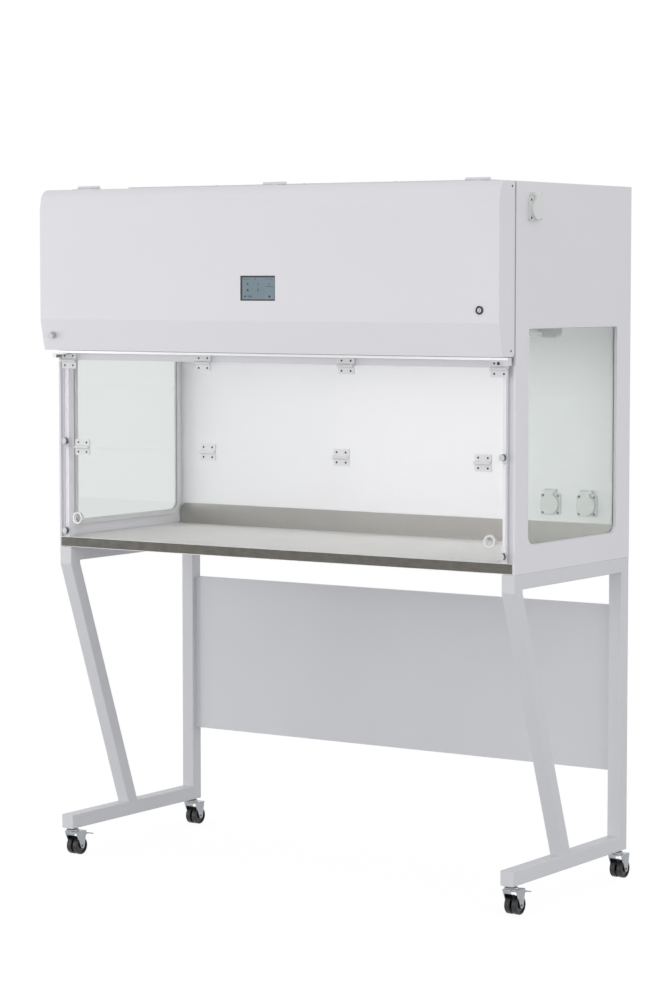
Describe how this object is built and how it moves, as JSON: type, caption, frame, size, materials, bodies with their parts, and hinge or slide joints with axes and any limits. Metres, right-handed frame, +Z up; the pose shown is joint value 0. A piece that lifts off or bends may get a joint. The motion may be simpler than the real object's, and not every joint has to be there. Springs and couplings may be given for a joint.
{
  "type": "laminar flow hood",
  "caption": "Mobile laminar flow clean bench: hinged front cover over a glazed chamber with folding windows, on a caster stand with slanted legs.",
  "frame": {"origin": "on the floor, in the middle of the width and in the middle of the depth of the side walls", "axes": "+Z up, +X to the right of a person who faces the front, front towards -Y"},
  "size_m": [1.5203, 0.7317, 1.913],
  "materials": {
    "frame_paint": "fine powder coat, light grey white",
    "caster_metal": "zinc plated, bright",
    "caster_tread": "black, slightly glossy",
    "white_paint": "fine powder coat, white",
    "window_glass": "clear, polished edges",
    "seal_rubber": "pale grey profile",
    "stainless": "brushed along the width",
    "rail_metal": "satin",
    "dark_plastic": "fine grained",
    "filter_frame_metal": "mill finish",
    "filter_paper": "white pleated fibre",
    "galvanised": "zinc coated sheet",
    "impeller_metal": "satin",
    "filter_pad": "non-woven fibre",
    "lamp_glass": "opal glass tube with metal caps",
    "grey_plastic": "fine grained",
    "chrome": "polished, knurled",
    "white_plastic": "satin"
  },
  "bodies": {
    "hood": {"frame_left": "frame_paint", "frame_right": "frame_paint", "rear_panel": "frame_paint", "caster_stems": "caster_metal", "side_wall_left": "white_paint", "side_wall_right": "white_paint", "roof": "white_paint", "rear_cover": "white_paint", "window_header": "white_paint", "base_pan": "white_paint", "back_liner": "white_paint", "intake_cover": "white_paint", "filter_seat": "white_paint", "diffuser": "white_paint", "side_glasses": "window_glass", "window_gaskets": "seal_rubber", "worktop": "stainless", "front_rail": "rail_metal", "cover_stops": "rail_metal", "mains_inlet": "dark_plastic", "filter_frame": "filter_frame_metal", "filter_media": "filter_paper", "fan_deck": "galvanised", "plenum_front_wall": "galvanised", "fan_motors": "galvanised", "control_box": "galvanised", "prefilter_pad": "filter_pad", "lamp_tube": "lamp_glass", "lamp_holders": "grey_plastic", "sockets": "grey_plastic", "window_hinges": "white_plastic"},
    "cover": {"front_cover": "white_paint", "display": "dark_plastic", "lock_barrel": "dark_plastic"},
    "lock_plug": {"lock_plug": "chrome"},
    "cover_knob": {"cover_knob": "chrome"},
    "upper_window": {"upper_pane": "window_glass", "upper_pane_hinges": "white_plastic"},
    "lower_window": {"lower_pane": "window_glass", "lower_pane_hinges": "white_plastic", "finger_rings": "window_glass"},
    "pane_knob_upper_left": {"pane_knob_upper_left": "chrome"},
    "pane_knob_upper_right": {"pane_knob_upper_right": "chrome"},
    "pane_knob_lower_left": {"pane_knob_lower_left": "chrome"},
    "pane_knob_lower_right": {"pane_knob_lower_right": "chrome"},
    "socket_lid_left": {"socket_lid_left": "grey_plastic"},
    "socket_lid_right": {"socket_lid_right": "grey_plastic"},
    "socket_lid_side": {"socket_lid_side": "grey_plastic"},
    "fan_impeller_left": {"fan_impeller_left": "impeller_metal"},
    "fan_impeller_right": {"fan_impeller_right": "impeller_metal"},
    "caster_fork_front_left": {"caster_fork_front_left": "caster_metal"},
    "caster_wheels_front_left": {"caster_wheels_front_left": "caster_tread"},
    "brake_pedal_front_left": {"brake_pedal_front_left": "caster_metal"},
    "caster_fork_front_right": {"caster_fork_front_right": "caster_metal"},
    "caster_wheels_front_right": {"caster_wheels_front_right": "caster_tread"},
    "brake_pedal_front_right": {"brake_pedal_front_right": "caster_metal"},
    "caster_fork_rear_left": {"caster_fork_rear_left": "caster_metal"},
    "caster_wheels_rear_left": {"caster_wheels_rear_left": "caster_tread"},
    "caster_fork_rear_right": {"caster_fork_rear_right": "caster_metal"},
    "caster_wheels_rear_right": {"caster_wheels_rear_right": "caster_tread"}
  },
  "joints": [
    {"name": "cover_hinge", "type": "hinge", "parent": "hood", "child": "cover", "pos_m": [0, -0.311, 1.908], "axis": [-1, 0, 0], "range_deg": [0, 100]},
    {"name": "lock_turn", "type": "hinge", "parent": "cover", "child": "lock_plug", "pos_m": [0.691, -0.392, 1.573], "axis": [0, -1, 0], "range_deg": [0, 90]},
    {"name": "cover_knob_turn", "type": "hinge", "parent": "cover", "child": "cover_knob", "pos_m": [-0.708, -0.383, 1.497], "axis": [0, -0.9788, -0.2049], "continuous": true},
    {"name": "upper_window_hinge", "type": "hinge", "parent": "hood", "child": "upper_window", "pos_m": [0, -0.322, 1.423], "axis": [-1, 0, 0], "range_deg": [0, 85]},
    {"name": "lower_window_hinge", "type": "hinge", "parent": "upper_window", "child": "lower_window", "pos_m": [0, -0.322, 1.179], "axis": [-1, 0, 0], "range_deg": [0, 100]},
    {"name": "pane_knob_upper_left_turn", "type": "hinge", "parent": "upper_window", "child": "pane_knob_upper_left", "pos_m": [-0.7195, -0.316, 1.195], "axis": [0, -1, 0], "range_deg": [0, 90]},
    {"name": "pane_knob_upper_right_turn", "type": "hinge", "parent": "upper_window", "child": "pane_knob_upper_right", "pos_m": [0.7195, -0.316, 1.195], "axis": [0, -1, 0], "range_deg": [0, 90]},
    {"name": "pane_knob_lower_left_turn", "type": "hinge", "parent": "lower_window", "child": "pane_knob_lower_left", "pos_m": [-0.7195, -0.316, 0.94], "axis": [0, -1, 0], "range_deg": [0, 90]},
    {"name": "pane_knob_lower_right_turn", "type": "hinge", "parent": "lower_window", "child": "pane_knob_lower_right", "pos_m": [0.7195, -0.316, 0.94], "axis": [0, -1, 0], "range_deg": [0, 90]},
    {"name": "socket_lid_left_hinge", "type": "hinge", "parent": "hood", "child": "socket_lid_left", "pos_m": [0.527, 0.2558, 1.069], "axis": [-1, 0, 0], "range_deg": [0, 110]},
    {"name": "socket_lid_right_hinge", "type": "hinge", "parent": "hood", "child": "socket_lid_right", "pos_m": [0.641, 0.2558, 1.069], "axis": [-1, 0, 0], "range_deg": [0, 110]},
    {"name": "socket_lid_side_hinge", "type": "hinge", "parent": "hood", "child": "socket_lid_side", "pos_m": [0.7622, -0.222, 1.87], "axis": [0, -1, 0], "range_deg": [0, 110]},
    {"name": "fan_left_spin", "type": "hinge", "parent": "hood", "child": "fan_impeller_left", "pos_m": [-0.35, 0, 1.7], "axis": [0, 0, 1], "continuous": true},
    {"name": "fan_right_spin", "type": "hinge", "parent": "hood", "child": "fan_impeller_right", "pos_m": [0.35, 0, 1.7], "axis": [0, 0, 1], "continuous": true},
    {"name": "caster_swivel_front_left", "type": "hinge", "parent": "hood", "child": "caster_fork_front_left", "pos_m": [-0.73, -0.287, 0.06], "axis": [0, 0, 1], "continuous": true},
    {"name": "caster_wheels_front_left_roll", "type": "hinge", "parent": "caster_fork_front_left", "child": "caster_wheels_front_left", "pos_m": [-0.73, -0.267, 0.025], "axis": [1, 0, 0], "continuous": true},
    {"name": "brake_pedal_front_left_tilt", "type": "hinge", "parent": "caster_fork_front_left", "child": "brake_pedal_front_left", "pos_m": [-0.73, -0.254, 0.059], "axis": [1, 0, 0], "range_deg": [0, 8]},
    {"name": "caster_swivel_front_right", "type": "hinge", "parent": "hood", "child": "caster_fork_front_right", "pos_m": [0.73, -0.287, 0.06], "axis": [0, 0, 1], "continuous": true},
    {"name": "caster_wheels_front_right_roll", "type": "hinge", "parent": "caster_fork_front_right", "child": "caster_wheels_front_right", "pos_m": [0.73, -0.267, 0.025], "axis": [1, 0, 0], "continuous": true},
    {"name": "brake_pedal_front_right_tilt", "type": "hinge", "parent": "caster_fork_front_right", "child": "brake_pedal_front_right", "pos_m": [0.73, -0.254, 0.059], "axis": [1, 0, 0], "range_deg": [0, 8]},
    {"name": "caster_swivel_rear_left", "type": "hinge", "parent": "hood", "child": "caster_fork_rear_left", "pos_m": [-0.73, 0.287, 0.06], "axis": [0, 0, 1], "continuous": true},
    {"name": "caster_wheels_rear_left_roll", "type": "hinge", "parent": "caster_fork_rear_left", "child": "caster_wheels_rear_left", "pos_m": [-0.73, 0.307, 0.025], "axis": [1, 0, 0], "continuous": true},
    {"name": "caster_swivel_rear_right", "type": "hinge", "parent": "hood", "child": "caster_fork_rear_right", "pos_m": [0.73, 0.287, 0.06], "axis": [0, 0, 1], "continuous": true},
    {"name": "caster_wheels_rear_right_roll", "type": "hinge", "parent": "caster_fork_rear_right", "child": "caster_wheels_rear_right", "pos_m": [0.73, 0.307, 0.025], "axis": [1, 0, 0], "continuous": true}
  ]
}
